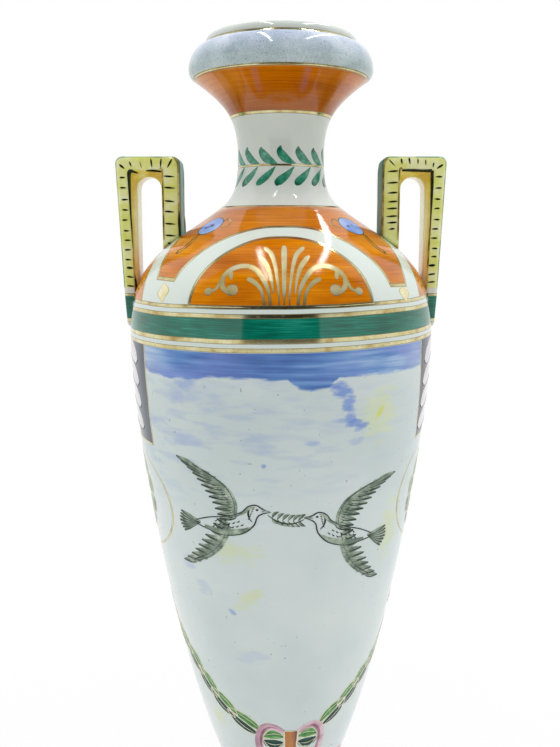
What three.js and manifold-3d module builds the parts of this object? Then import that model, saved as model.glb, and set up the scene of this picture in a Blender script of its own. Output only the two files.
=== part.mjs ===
// A tall ceramic amphora with two angular loop handles, on a pedestal foot.
// Millimetres, +Z up, origin at the middle of the foot where it meets the table.
// The handles lie in the XZ plane and the front looks along -Y.

import * as THREE from 'three';
import { mergeVertices } from 'three/addons/utils/BufferGeometryUtils.js';
import Module from 'manifold-3d';

const wasm = await Module();
wasm.setup();

// Heights of the pieces, stacked from the table up
const footHeight = 62;
const bodyHeight = 430;
const neckHeight = 82;
const lipHeight = 26;

// Foot
const footRadius = 54;
const footEdgeHeight = 9;
const footRingWidth = 9;
const footRound = 3;
const footSpread = 13;
const footHollowHeight = 34;
const footHollowRise = 15;
const footWall = 8;
const stemRadius = 27;
const waistRadius = 24;
const waistHeight = 44;
const waistPull = 18;
const collarHeight = 8;
const collarSwell = 9;

// Body
const bellyRadius = 102.2;
const bellyRise = 346;
const creaseRadius = 40.3;
const bodyWall = 7;
const bodyFloor = 12;
const stemSpread = 37.6;
const stemPull = 50.1;
const bellyPull = 81.5;
const shoulderPull = 52.9;
const creaseSpread = 32.9;
const creaseDrop = 24.7;

// Neck and trumpet
const neckRadius = 28.6;
const neckWaistRise = 31;
const trumpetRadius = 57.5;
const neckWall = 6;
const neckFootPull = 9;
const neckFootRise = 7;
const neckWaistPull = 15;
const trumpetPull = 26.5;
const trumpetSpread = 22.9;
const trumpetDrop = 16.6;
const mouthWall = 9.6;

// Rolled lip and its rim bead
const lipOverhang = 2.7;
const lipRoundRise = 5;
const beadInset = 10.7;
const beadHeight = 6;
const rimWall = 8;
const rollPull = 8;
const rollSpread = 5.5;
const throatPull = 10;
const throatRise = 6;

// Handles: an inverted U seen from the front, its window sunk in a sloping recess
const handleDepth = 28;
const handleWidth = 42.4;
const handleInset = 36;
const handleRise = 33;
const handleCorner = 5;
const handleEdge = 2.5;
const handleTaper = 3.4;
const handleFootFlare = 1.4;
const outerBand = 9.6;
const topBand = 9;
const innerBand = 11.6;
const outerSlope = 4.3;
const topSlope = 4.4;
const innerSlope = 1.2;
const recessDepth = 5;
const recessCorner = 1;
const bendLift = 29;
const tailLift = 4;
const tailThickness = 1.4;
const windowRoot = 10;

// The slip in a luted joint
const slipGap = 0.3;

// Fineness
const turns = 48;
const cornerSteps = 4;
const beadSteps = 8;

const stemZ = footHeight;
const bellyZ = stemZ + bellyRise;
const creaseZ = stemZ + bodyHeight;
const neckWaistZ = creaseZ + neckWaistRise;
const trumpetZ = creaseZ + neckHeight;
const rimZ = trumpetZ + lipHeight;
const lipRadius = trumpetRadius + lipOverhang;
const beadRadius = lipRadius - beadInset;

function point(radius, height) {
  return new THREE.Vector2(radius, height);
}

function bezier(start, startPull, endPull, end, steps) {
  return new THREE.CubicBezierCurve(start, startPull, endPull, end).getPoints(steps);
}

// A profile moved sideways by a distance, to its left as it runs when the distance is positive
function offsetProfile(profile, distance) {
  return profile.map((here, i) => {
    const before = profile[Math.max(i - 1, 0)];
    const after = profile[Math.min(i + 1, profile.length - 1)];
    const along = after.clone().sub(before).normalize();
    return point(here.x - along.y * distance, here.y + along.x * distance);
  });
}

function joinProfiles(...profiles) {
  const all = profiles.flat();
  return all.filter((here, i) => i === 0 || here.distanceTo(all[i - 1]) > 1e-4);
}

// A turned solid, from a profile that starts and ends on the axis or closes on itself
function turned(profile) {
  const geometry = new THREE.LatheGeometry(profile, turns);
  geometry.rotateX(Math.PI / 2);
  return geometry;
}

function toSolid(geometry) {
  const bare = geometry.clone();
  bare.deleteAttribute('normal');
  bare.deleteAttribute('uv');
  const merged = mergeVertices(bare, 1e-4);
  const mesh = new wasm.Mesh({
    numProp: 3,
    vertProperties: new Float32Array(merged.attributes.position.array),
    triVerts: new Uint32Array(merged.index.array),
  });
  return new wasm.Manifold(mesh);
}

function toGeometry(solid) {
  const mesh = solid.getMesh();
  const geometry = new THREE.BufferGeometry();
  geometry.setAttribute('position', new THREE.BufferAttribute(mesh.vertProperties, 3));
  geometry.setIndex(new THREE.BufferAttribute(mesh.triVerts, 1));
  geometry.computeVertexNormals();
  return geometry;
}

// Body: the belly rises from the stem to its widest line, and the shoulder falls in to the crease
const bellyCurve = bezier(
  point(stemRadius, stemZ),
  point(stemRadius + stemSpread, stemZ + stemPull),
  point(bellyRadius, bellyZ - bellyPull),
  point(bellyRadius, bellyZ),
  12,
);
const shoulderCurve = bezier(
  point(bellyRadius, bellyZ),
  point(bellyRadius, bellyZ + shoulderPull),
  point(creaseRadius + creaseSpread, creaseZ - creaseDrop),
  point(creaseRadius, creaseZ),
  10,
);
const bodyOuter = joinProfiles(bellyCurve, shoulderCurve);
const bodyBore = creaseRadius - bodyWall;

function bodyGeometry() {
  const inner = offsetProfile(bodyOuter, bodyWall)
    .filter((here) => here.y > stemZ + bodyFloor && here.y < creaseZ - bodyWall)
    .reverse();
  const floor = point(0, stemZ + bodyFloor);
  const floorEdge = point(stemRadius - bodyWall, stemZ + bodyFloor);
  return turned(joinProfiles(
    [point(0, stemZ)],
    bodyOuter,
    [point(bodyBore, creaseZ)],
    inner,
    [floorEdge, floor],
  ));
}

// Neck: a foot that spreads to the crease, a waist, and the trumpet that carries the lip
const neckFootCurve = bezier(
  point(creaseRadius, creaseZ),
  point(creaseRadius - neckFootPull, creaseZ + neckFootRise),
  point(neckRadius, neckWaistZ - neckWaistPull),
  point(neckRadius, neckWaistZ),
  6,
);
const trumpetCurve = bezier(
  point(neckRadius, neckWaistZ),
  point(neckRadius, neckWaistZ + trumpetPull),
  point(trumpetRadius - trumpetSpread, trumpetZ - trumpetDrop),
  point(trumpetRadius, trumpetZ),
  10,
);
const neckOuter = joinProfiles(neckFootCurve, trumpetCurve);
const mouthRadius = trumpetRadius - mouthWall;

function neckGeometry() {
  const inner = offsetProfile(neckOuter, neckWall)
    .filter((here) => here.y > creaseZ + neckWall && here.x < mouthRadius)
    .reverse();
  return turned(joinProfiles(
    neckOuter,
    [point(mouthRadius, trumpetZ)],
    inner,
    [point(bodyBore, creaseZ), neckOuter[0]],
  ));
}

// Lip: a rounded roll that overhangs the trumpet, with a small bead round the mouth
function lipGeometry() {
  const roundZ = trumpetZ + lipRoundRise;
  const beadZ = rimZ - beadHeight;
  const underside = bezier(
    point(trumpetRadius, trumpetZ),
    point((trumpetRadius + lipRadius) / 2, trumpetZ),
    point(lipRadius, (trumpetZ + roundZ) / 2),
    point(lipRadius, roundZ),
    4,
  );
  const roll = bezier(
    point(lipRadius, roundZ),
    point(lipRadius, roundZ + rollPull),
    point(beadRadius + rollSpread, beadZ),
    point(beadRadius, beadZ),
    8,
  );
  const halfRim = rimWall / 2;
  const bead = [];
  for (let i = 0; i <= beadSteps; i += 1) {
    const turn = (Math.PI * i) / beadSteps;
    bead.push(point(beadRadius - halfRim + halfRim * Math.cos(turn), beadZ + beadHeight * Math.sin(turn)));
  }
  const throat = bezier(
    point(beadRadius - rimWall, beadZ),
    point(beadRadius - rimWall, beadZ - throatPull),
    point(mouthRadius, trumpetZ + throatRise),
    point(mouthRadius, trumpetZ),
    5,
  );
  return turned(joinProfiles(underside, roll, bead, throat, [underside[0]]));
}

// Foot: a spreading pedestal with a collar under the body, hollow below, on a ground ring
function footGeometry() {
  const edge = bezier(
    point(footRadius - footRound, 0),
    point(footRadius, footRound),
    point(footRadius, footEdgeHeight - footRound),
    point(footRadius - footRound, footEdgeHeight),
    4,
  );
  const spread = bezier(
    point(footRadius - footRound, footEdgeHeight),
    point(footRadius - footRound - footSpread, footEdgeHeight + footRound),
    point(waistRadius, waistHeight - waistPull),
    point(waistRadius, waistHeight),
    9,
  );
  const collar = bezier(
    point(waistRadius, stemZ - collarHeight),
    point(waistRadius + collarSwell, stemZ - collarHeight),
    point(waistRadius + collarSwell, stemZ),
    point(stemRadius, stemZ),
    7,
  );
  const hollow = bezier(
    point(0, footHollowHeight),
    point(waistRadius - footWall, footHollowHeight),
    point(waistRadius, footHollowRise),
    point(footRadius - footRound - footRingWidth, 0),
    8,
  );
  return turned(joinProfiles(hollow, edge, spread, collar, [point(0, stemZ)]));
}

const handleInner = bellyRadius - handleInset;
const handleOuter = handleInner + handleWidth;
const handleTop = creaseZ + handleRise;
const bendZ = bellyZ + bendLift;
const tailZ = bellyZ + tailLift;

// The outline of a window with two rounded top corners, open downwards into the body
function windowOutline(left, right, top, corner) {
  const bottom = tailZ - windowRoot;
  const outline = [point(left, bottom), point(right, bottom)];
  for (const [centre, start] of [[right - corner, 0], [left + corner, Math.PI / 2]]) {
    for (let i = 0; i <= cornerSteps; i += 1) {
      const turn = start + (Math.PI / 2) * (i / cornerSteps);
      outline.push(point(centre + corner * Math.cos(turn), top - corner + corner * Math.sin(turn)));
    }
  }
  return outline;
}

// A closed solid between two outlines of as many points each, at two depths
function loft(front, frontDepth, back, backDepth) {
  const count = front.length;
  const corners = [];
  front.forEach((here) => corners.push(here.x, here.y, frontDepth));
  back.forEach((here) => corners.push(here.x, here.y, backDepth));
  const faces = [];
  THREE.ShapeUtils.triangulateShape(front, []).forEach(([a, b, c]) => faces.push(a, b, c));
  THREE.ShapeUtils.triangulateShape(back, []).forEach(([a, b, c]) => {
    faces.push(count + a, count + c, count + b);
  });
  for (let i = 0; i < count; i += 1) {
    const next = (i + 1) % count;
    faces.push(i, count + i, next, next, count + i, count + next);
  }
  const geometry = new THREE.BufferGeometry();
  geometry.setAttribute('position', new THREE.Float32BufferAttribute(corners, 3));
  geometry.setIndex(faces);
  return geometry;
}

// The loop of the handle before its window is cut, standing on a root inside the body
function handleBlank() {
  const outline = new THREE.Shape();
  const topLine = handleTop - handleCorner;
  outline.moveTo(handleInner, bendZ + handleRise);
  outline.lineTo(handleInner - handleFootFlare, bendZ);
  outline.lineTo(handleInner - handleFootFlare, tailZ);
  outline.lineTo(bellyRadius + tailThickness, tailZ);
  outline.lineTo(handleOuter - handleTaper, bendZ);
  outline.lineTo(handleOuter, topLine);
  outline.absarc(handleOuter - handleCorner, topLine, handleCorner, 0, Math.PI / 2);
  outline.absarc(handleInner + handleCorner, topLine, handleCorner, Math.PI / 2, Math.PI);
  const blank = new THREE.ExtrudeGeometry(outline, {
    depth: handleDepth - 2 * handleEdge,
    bevelEnabled: true,
    bevelThickness: handleEdge,
    bevelSize: handleEdge,
    bevelOffset: -handleEdge,
    bevelSegments: 2,
    curveSegments: cornerSteps,
  });
  blank.translate(0, 0, -handleDepth / 2 + handleEdge);
  return blank;
}

// Handle: the loop with its window, which slopes in from both faces to a round-topped slot
function handleSolid() {
  const recessInner = handleInner + innerBand;
  const recessOuter = handleOuter - outerBand;
  const recessTop = handleTop - topBand;
  const slotInner = recessInner + innerSlope;
  const slotOuter = recessOuter - outerSlope;
  const slot = windowOutline(slotInner, slotOuter, recessTop - topSlope, (slotOuter - slotInner) / 2);
  const recess = windowOutline(recessInner, recessOuter, recessTop, recessCorner);
  const face = handleDepth / 2;
  const clear = face + recessDepth;
  const overlap = 0.01;
  const tools = [
    loft(slot, clear, slot, -clear),
    loft(recess, face, slot, face - recessDepth),
    loft(slot, -face + recessDepth, recess, -face),
    loft(recess, clear, recess, face - overlap),
    loft(recess, -face + overlap, recess, -clear),
  ];
  return tools
    .reduce((solid, tool) => solid.subtract(toSolid(tool)), toSolid(handleBlank()))
    .rotate([90, 0, 0]);
}

function handleGeometry(side) {
  const seat = offsetProfile(bodyOuter, -slipGap);
  const seatProfile = joinProfiles([point(0, stemZ)], seat, [point(0, creaseZ)]);
  const body = toSolid(turned(seatProfile));
  const blank = side < 0 ? handleSolid().rotate([0, 0, 180]) : handleSolid();
  return toGeometry(blank.subtract(body));
}

const glaze = { roughness: 0.22, metalness: 0 };
const groundGlaze = new THREE.MeshStandardMaterial({ color: 0xdfe8e4, ...glaze });
const neckGlaze = new THREE.MeshStandardMaterial({ color: 0xe2e6de, ...glaze });
const lipGlaze = new THREE.MeshStandardMaterial({ color: 0xa9bdd0, ...glaze });
const handleGlaze = new THREE.MeshStandardMaterial({ color: 0xd8dc8c, ...glaze });

const vase = new THREE.Group();

function add(name, geometry, material) {
  const mesh = new THREE.Mesh(geometry, material);
  mesh.name = name;
  vase.add(mesh);
}

add('foot', footGeometry(), groundGlaze);
add('body', bodyGeometry(), groundGlaze);
add('neck', neckGeometry(), neckGlaze);
add('lip', lipGeometry(), lipGlaze);
add('handle_right', handleGeometry(1), handleGlaze);
add('handle_left', handleGeometry(-1), handleGlaze);

export default vase;
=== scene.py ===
from bisect import bisect
from functools import cached_property, partial
from math import atan2, copysign, cos, degrees, hypot, pi, radians, sin, tau

import bmesh
import bpy
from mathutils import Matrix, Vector
from mathutils.geometry import interpolate_bezier


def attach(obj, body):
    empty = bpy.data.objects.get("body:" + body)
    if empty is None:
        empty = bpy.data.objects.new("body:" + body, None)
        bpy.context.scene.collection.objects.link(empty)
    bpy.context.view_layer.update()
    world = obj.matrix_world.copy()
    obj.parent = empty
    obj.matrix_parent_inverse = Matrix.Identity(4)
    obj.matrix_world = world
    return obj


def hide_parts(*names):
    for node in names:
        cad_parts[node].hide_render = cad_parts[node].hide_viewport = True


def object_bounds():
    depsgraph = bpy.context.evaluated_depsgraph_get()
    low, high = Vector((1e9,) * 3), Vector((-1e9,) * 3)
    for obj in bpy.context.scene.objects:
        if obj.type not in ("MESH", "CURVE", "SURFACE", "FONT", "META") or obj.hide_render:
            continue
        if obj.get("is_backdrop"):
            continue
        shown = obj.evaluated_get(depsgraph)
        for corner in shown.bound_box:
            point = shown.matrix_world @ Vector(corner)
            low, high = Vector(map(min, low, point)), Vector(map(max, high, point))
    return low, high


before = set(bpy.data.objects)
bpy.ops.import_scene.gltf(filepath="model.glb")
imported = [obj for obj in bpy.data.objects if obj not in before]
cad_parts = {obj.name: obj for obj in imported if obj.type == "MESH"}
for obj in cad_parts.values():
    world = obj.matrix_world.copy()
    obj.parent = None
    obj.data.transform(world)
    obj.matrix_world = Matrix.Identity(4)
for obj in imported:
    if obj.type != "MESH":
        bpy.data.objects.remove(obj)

MM = 0.001
cad_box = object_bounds()

# The camera stands a little over half a metre from the vase, level with its shoulder,
# and looks slightly down, as the photograph does.
camera_distance = 550 * MM
camera_aside = -0.6 * MM
eye_height = 474 * MM
look_down = radians(9.8)


def new_object(name, data):
    """An object in the scene, at the origin."""
    made = bpy.data.objects.new(name, data)
    bpy.context.scene.collection.objects.link(made)
    return made


camera = new_object("camera", bpy.data.cameras.new("camera"))
camera.data.lens = 38.55
camera.data.sensor_width = 36
camera.location = (camera_aside, -camera_distance, eye_height)
camera.rotation_euler = (pi / 2 - look_down, 0, 0)
bpy.context.scene.camera = camera

# The body is one slip-cast shell, closed at the stem and open at the crease of the
# shoulder. It is glazed white, painted in bands and fields, and lined with gold.
WHEEL_STEPS = 128
PROFILE_STEPS = 28
BODY_WALL = 7 * MM
BODY_FLOOR = 74


def at(radius, height):
    """A place on a turned profile, from its radius and height in millimetres."""
    return Vector((radius, 0, height)) * MM


def curve(start, start_pull, end_pull, end, steps=PROFILE_STEPS):
    """A stretch of a turned profile."""
    return interpolate_bezier(at(*start), at(*start_pull), at(*end_pull), at(*end), steps)


def walled(profile, wall):
    """The inner face of a wall, run back from the end of the outer profile."""
    inner = []
    for before, here, after in zip(profile, profile[1:], profile[2:]):
        along = (after - before).normalized()
        inner.append(here + Vector((-along.z, 0, along.x)) * wall)
    return inner[::-1]


def turned(profile):
    """A shape thrown on the wheel: the profile spun once round the axis."""
    shape = bmesh.new()
    corners = [shape.verts.new(spot) for spot in profile]
    rim = [shape.edges.new(pair) for pair in zip(corners, corners[1:])]
    once_round = {"cent": (0, 0, 0), "axis": (0, 0, 1), "angle": tau, "steps": WHEEL_STEPS}
    bmesh.ops.spin(shape, geom=corners + rim, use_merge=True, **once_round)
    bmesh.ops.remove_doubles(shape, verts=shape.verts, dist=1e-6)
    bmesh.ops.recalc_face_normals(shape, faces=shape.faces)
    return shape


def solid(name, shape, material):
    """An object from its bmesh, in its material."""
    mesh = bpy.data.meshes.new(name)
    shape.to_mesh(mesh)
    shape.free()
    mesh.materials.append(material)
    mesh.shade_smooth()
    return new_object(name, mesh)


def piece(name, shape, material, replaced=None):
    """A finished piece of the vase, riding on it."""
    made = solid(name, shape, material)
    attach(made, "root")
    if replaced:
        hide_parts(replaced)
    return made


def ink(code):
    """A colour from its hexadecimal code, in the linear light that shaders use."""
    parts = [int(code[i : i + 2], 16) / 255 for i in (0, 2, 4)]
    return (*[part / 12.92 if part < 0.04045 else ((part + 0.055) / 1.055) ** 2.4 for part in parts], 1)


class Tone:
    """A number or a colour on its way through a material's nodes. Where a node takes a
    colour, its code will do."""

    def __init__(self, tree, socket):
        self.tree = tree
        self.socket = socket

    def node(self, kind, inputs, output=0, **settings):
        made = self.tree.nodes.new("ShaderNode" + kind)
        for name, value in settings.items():
            setattr(made, name, value)
        for name, value in inputs.items():
            if isinstance(value, Tone):
                value.into(made.inputs[name])
            else:
                made.inputs[name].default_value = ink(value) if isinstance(value, str) else value
        return Tone(self.tree, made.outputs[output])

    def into(self, socket):
        self.tree.links.new(self.socket, socket)

    def math(self, operation, *values, clamp=False):
        return self.node("Math", dict(enumerate(values)), operation=operation, use_clamp=clamp)

    def __add__(self, other):
        return self.math("ADD", self, other)

    __radd__ = __add__

    def __sub__(self, other):
        return self.math("SUBTRACT", self, other)

    def __rsub__(self, other):
        return self.math("SUBTRACT", other, self)

    def __mul__(self, other):
        return self.math("MULTIPLY", self, other)

    __rmul__ = __mul__

    def __truediv__(self, other):
        return self.math("DIVIDE", self, other)

    def __pow__(self, other):
        return self.math("POWER", self, other)

    def __abs__(self):
        return self.math("ABSOLUTE", self)

    def axis(self, number):
        """One number of a place: its first, second or third."""
        return self.node("SeparateXYZ", {0: self}, number)

    def most(self, other):
        return self.math("MAXIMUM", self, other)

    def over(self, level, soft=0.35):
        """1 above a level and 0 below it, with a soft edge as wide as a brush leaves."""
        return self.math("ADD", (self - level) / soft, 0.5, clamp=True)

    def under(self, level, soft=0.35):
        return 1 - self.over(level, soft)

    def between(self, low, high, soft=0.35):
        return self.over(low, soft) * self.under(high, soft)

    def mix(self, under, over):
        """A colour under this mask and a colour over it."""
        return self.node("Mix", {0: self, 6: under, 7: over}, 2, data_type="RGBA")

    def ramp(self, *stops):
        """A colour for each place of the value between the stops."""
        made = self.tree.nodes.new("ShaderNodeValToRGB")
        band = made.color_ramp
        first, *others, last = [(spot, ink(code)) for spot, code in stops]
        band.elements[0].position, band.elements[0].color = first
        band.elements[1].position, band.elements[1].color = last
        for spot, colour in others:
            band.elements.new(spot).color = colour
        self.into(made.inputs[0])
        return Tone(self.tree, made.outputs[0])


GLAZE_ROUGHNESS = 0.07
GOLD_ROUGHNESS = 0.16
GOLD_TONES = (0.3, "B9A066"), (0.46, "D6C994"), (0.66, "E3DDB2")
GOLD_SHADE = "6B6534"
GOLD_SHADE_WIDTH = 0.28


class Coat:
    """A glazed surface and the paint and gold laid on it, one layer over the other."""

    gilt = colour = relief = matt = None

    def __init__(self, name, scale=0, *tones):
        self.material = bpy.data.materials.new(name)
        self.material.use_nodes = True
        self.tree = self.material.node_tree
        self.shader = self.tree.nodes["Principled BSDF"]
        self.shader.inputs["IOR"].default_value = 1.58
        self.start = Tone(self.tree, self.shader.outputs[0])
        self.place, self.uv = [self.start.node("TexCoord", {}, i) for i in (3, 2)]
        if tones:
            self.colour = self.mottle(scale, *tones)

    def noise(self, scale, detail=3, squeeze=None):
        """Soft patches of a scale, squeezed along the three axes."""
        place = self.place
        if squeeze:
            place = place.node("VectorMath", {0: place, 1: squeeze}, operation="MULTIPLY")
        return place.node("TexNoise", {"Vector": place, "Scale": scale, "Detail": detail})

    def mottle(self, scale, *tones):
        return self.noise(scale).ramp(*tones)

    # The place on the vase, in millimetres, and the angle from the middle of the front, or
    # of the back, in degrees
    x = cached_property(lambda coat: coat.place.axis(0) / MM)
    y = cached_property(lambda coat: coat.place.axis(1) / MM)
    height = cached_property(lambda coat: coat.place.axis(2) / MM)
    radius = cached_property(lambda coat: coat.x.math("SQRT", coat.x * coat.x + coat.y * coat.y))
    turn = cached_property(lambda coat: coat.x.math("ARCTAN2", coat.x, abs(coat.y)) * (180 / pi))
    side = cached_property(lambda coat: abs(coat.turn))
    arc = cached_property(lambda coat: coat.side * coat.radius * (pi / 180))
    right = cached_property(lambda coat: coat.x.over(0, 1))

    # The share of a brush stroke's length, and of its width
    share = cached_property(lambda coat: coat.uv.axis(0))
    width = cached_property(lambda coat: coat.uv.axis(1))

    def lay(self, mask, colour):
        self.colour = mask.mix(self.colour, colour)
        if self.gilt:
            self.gilt = self.gilt * (1 - mask)

    def gild(self, value, low, high, within=1.0, soft=0.35, scale=1.0):
        """A gold line where a value lies between two levels, with the dark edge of its outline."""
        shade = GOLD_SHADE_WIDTH * scale
        self.lay(value.between(low - shade, high + shade, soft) * within, GOLD_SHADE)
        line = value.between(low, high, soft) * within
        self.gilt = self.gilt.most(line) if self.gilt else line

    def finish(self, roughness=GLAZE_ROUGHNESS, metallic=0.0, specular=0.5):
        """Joins the paint, the gold and the ripple of the glaze to the shader."""
        sockets = self.shader.inputs
        sockets["Specular IOR Level"].default_value = specular
        sockets["Metallic"].default_value = metallic
        ripple = self.noise(38, 2)
        height = ripple * 0.8
        colour, rough = self.colour, ripple * 0.05 + (roughness - 0.025)
        if self.gilt:
            wear = self.noise(420).over(0.36, 0.1)
            metal = self.gilt * (wear * 0.25 + 0.75)
            metal.into(sockets["Metallic"])
            colour = metal.mix(colour, self.mottle(95, *GOLD_TONES))
            rough = rough + self.gilt * (GOLD_ROUGHNESS - roughness)
            height = height + self.gilt * 0.05
        if self.relief:
            height = height + self.relief
        if self.matt:
            rough = rough + self.matt * 0.5
        bumped = height.node("Bump", {"Strength": 0.35, "Distance": 0.2 * MM, "Height": height})
        for name, value in (("Base Color", colour), ("Roughness", rough), ("Normal", bumped)):
            value.into(sockets[name])
        return self.material


def brushed_orange(coat):
    """The orange enamel, put on with a flat brush that leaves long streaks."""
    fine = coat.noise(150, 4, (0.2, 0.2, 14))
    broad = coat.noise(34, 3, (0.6, 0.6, 2))
    streak = fine * 0.4 + broad * 0.6
    thick = (0.33, "AA5800"), (0.43, "CA7000"), (0.51, "DC8000")
    return streak, streak.ramp(*thick, (0.59, "E9920A"), (0.7, "F2A830"))


def brushed_green(coat):
    """The green enamel of the bands, thin enough for the brush to show."""
    fine = coat.noise(170, 4, (0.25, 0.25, 14))
    broad = coat.noise(30, 3, (1, 1, 2))
    streak = fine * 0.6 + broad * 0.4
    thick = (0.33, "004C3A"), (0.45, "00664F"), (0.55, "00806A")
    return streak.ramp(*thick, (0.7, "38A48C"))


belly = curve((27, 62), (64.6, 112.1), (102.2, 326.5), (102.2, 408))
shoulder = curve((102.2, 408), (102.2, 460.9), (73.2, 467.3), (40.3, 492))
body_profile = belly + shoulder[1:]
body_bore = at(33.3, 492)
body_inner = [spot for spot in walled(body_profile, BODY_WALL) if BODY_FLOOR * MM < spot.z < 485 * MM]
body_shape = turned([at(0, 62), *body_profile, body_bore, *body_inner, at(0, BODY_FLOOR)])

coat = Coat("painted_glaze", 14, (0.3, "D4E2E0"), (0.5, "DCE9E6"), (0.75, "E8F0EE"))
wobble = coat.noise(22, 1) * 1.2 - 0.6
level = coat.height + wobble - coat.x * 0.0145

# Washes of blue and yellow, dragged over the white ground with a nearly dry brush
fray = coat.noise(75, 6, (1, 1, 3)) * 5 - 2.5
coat.lay(coat.height.between(340, 400, 60) * 0.3, "B4C6CA")
mist = coat.noise(40, 8, (1, 1, 4)).over(0.56, 0.2) * coat.height.between(322, 400, 60)
coat.lay(mist * (1 - coat.turn.over(12, 50) * 0.75) * 0.45, "96ACDC")
for turn, height, wide, tall, lean, strength, wash in (
    (36.2, 369, 9, 17, 0, 0.4, "E6EE9A"),
    (36.4, 369, 1.4, 4, -0.3, 0.75, "DDE23A"),
    (-19, 281, 11, 8, 0, 0.45, "DDE79A"),
    (51, 290, 7, 22, 0, 0.45, "E0E8A4"),
    (46.5, 284, 3, 3.5, 0, 0.5, "B4BA86"),
    (-13, 251, 4.5, 9, -0.5, 0.4, "DDE690"),
    (-43.7, 145, 6, 8, 0, 0.5, "E0E8A4"),
    (18.6, 388.6, 3.4, 3.4, 0, 0.85, "5F88DC"),
    (21, 384, 3.2, 4.2, -0.2, 0.85, "6E93DD"),
    (23.2, 377, 2.3, 6, -0.1, 0.8, "7699DE"),
    (24, 370, 2.1, 6, 0, 0.75, "7C9CDF"),
    (21, 367, 4.6, 1.7, 0, 0.6, "86A5E2"),
    (25.4, 364.4, 3, 2.6, -0.6, 0.8, "7196DD"),
    (28.2, 361.6, 2.8, 3.2, -0.5, 0.8, "6E93DD"),
    (27, 353.6, 3.6, 2.6, 0, 0.45, "9DB4E4"),
    (10.2, 354.3, 3.4, 2, 0, 0.55, "9DB4E4"),
    (-6.1, 340.4, 0.9, 1.5, 0, 0.8, "7FA0D8"),
    (-34.3, 387.6, 4.4, 4, 0, 0.6, "8FA9E0"),
    (-40.3, 379, 5, 5, 0, 0.5, "A0B4E4"),
    (-35, 352, 6, 4, 0, 0.45, "A9BBE4"),
    (-43, 268, 4, 5, 0, 0.5, "AFC3E8"),
    (-36, 251, 4, 6, 0, 0.4, "B4C6E6"),
    (-22.3, 238.5, 1.6, 2, 0.4, 0.7, "8FABE2"),
    (-14, 205, 9, 6, 0, 0.3, "B4C6E6"),
):
    across, up = coat.turn - turn, coat.height - height
    away = ((across + up * lean) / wide) ** 2 + (up / tall) ** 2
    coat.lay((1 - away + fray).over(0.3, 1.2) * (1 - away).over(-0.6, 0.6) * strength, wash)
patch = coat.noise(17, 2, (1, 1, 1.7))
sky_streak = coat.noise(70, 5, (0.3, 0.3, 6)) * 0.5 + patch * 0.5
sky_dip = (1 - abs((coat.turn - 10.8) / 8.6) ** 2.8).most(0) * 6.4
sky_dip += (1 - ((coat.turn + 42) / 16) ** 2).most(0) * 3.4
sky = (coat.height + fray * 1.1 + sky_dip).over(393.2, 1.4)
sky_tones = (0.36, "1C4C9E"), (0.45, "3771BE"), (0.54, "5E92D4"), (0.66, "A3C2EA")
coat.lay(sky * (0.97 - coat.side.over(48, 12) * 0.3), sky_streak.ramp(*sky_tones))
violet = coat.noise(19, 3, (1, 1, 2.4)).over(0.5, 0.14) * coat.side.over(16, 24)
coat.lay(sky * violet * 0.55, "7F8FDC")
pits = coat.noise(420, 1).over(0.775, 0.02)
coat.lay(pits * 0.6, "6E807C")

# White arches with gilt edges part the orange lunettes and fields of the shoulder
BASE_LINE = 434
FIELD_END = 88.4
SIDE_FIELD_START = 107.5


def arch(width, rise, power):
    """1 on the outline of an arch that stands on the base line, and less inside it."""
    return (coat.side / width) ** power + ((level - BASE_LINE) / rise).most(0) ** power


streak, orange = brushed_orange(coat)
inner_arch = arch(33.4, 39.4, 2.45)
outer_arch = arch(43.6, 44.9, 2.6)
above_base = level.over(BASE_LINE)
field_level = coat.height + wobble + coat.x * 0.025
field = outer_arch.over(1.06, 0.02) * field_level.over(447.2) * coat.arc.under(FIELD_END)
side_field = coat.arc.over(SIDE_FIELD_START) * above_base
lunette = inner_arch.under(1, 0.02) * above_base
coat.lay(above_base, "E2EDE5")
painted = field + side_field + lunette
coat.lay(painted, orange)
coat.relief = painted * streak * 1.5
above_line = field_level.over(445.4)
coat.gild(outer_arch, 1, 1.055, above_line * coat.arc.under(FIELD_END), soft=0.02, scale=0.04)
coat.gild(field_level, 445.4, 447.2, coat.arc.between(66, 89.6) * outer_arch.over(1, 0.02))
coat.gild(coat.arc, 88.2, 89.7, above_line)
coat.gild(coat.arc, 106.7, 107.9, above_base)
coat.gild(inner_arch, 0.93, 1.0, above_base, soft=0.02, scale=0.04)

# The blue ovals stand in the orange fields, with a dark rim and dark specks
out, rise = coat.arc - 50.5, (coat.height - 479.7) * 1.8
oval = ((out * 0.8 - rise * 0.6) / 12.2) ** 2 + ((out * 0.6 + rise * 0.8) / 6.4) ** 2
coat.lay(oval.under(1.22, 0.1), "4F5A22")
blue = coat.mottle(60, (0.3, "6E92E2"), (0.5, "86A6EE"), (0.7, "AEC6F6"))
coat.lay(oval.under(1, 0.1), blue)
specks = coat.noise(260, 1, (1, 1, 2)).over(0.58, 0.03) * oval.under(0.3, 0.2)
coat.lay(specks * 0.85, "2A3C86")

coat.lay(level.between(408, 434.9), "DFEAE3")
coat.lay(level.between(415, 428.6), brushed_green(coat))
for low, high in ((433, 434.8), (427.9, 430), (413.5, 415.8), (408.5, 410.6)):
    coat.gild(level, low, high)

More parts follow.
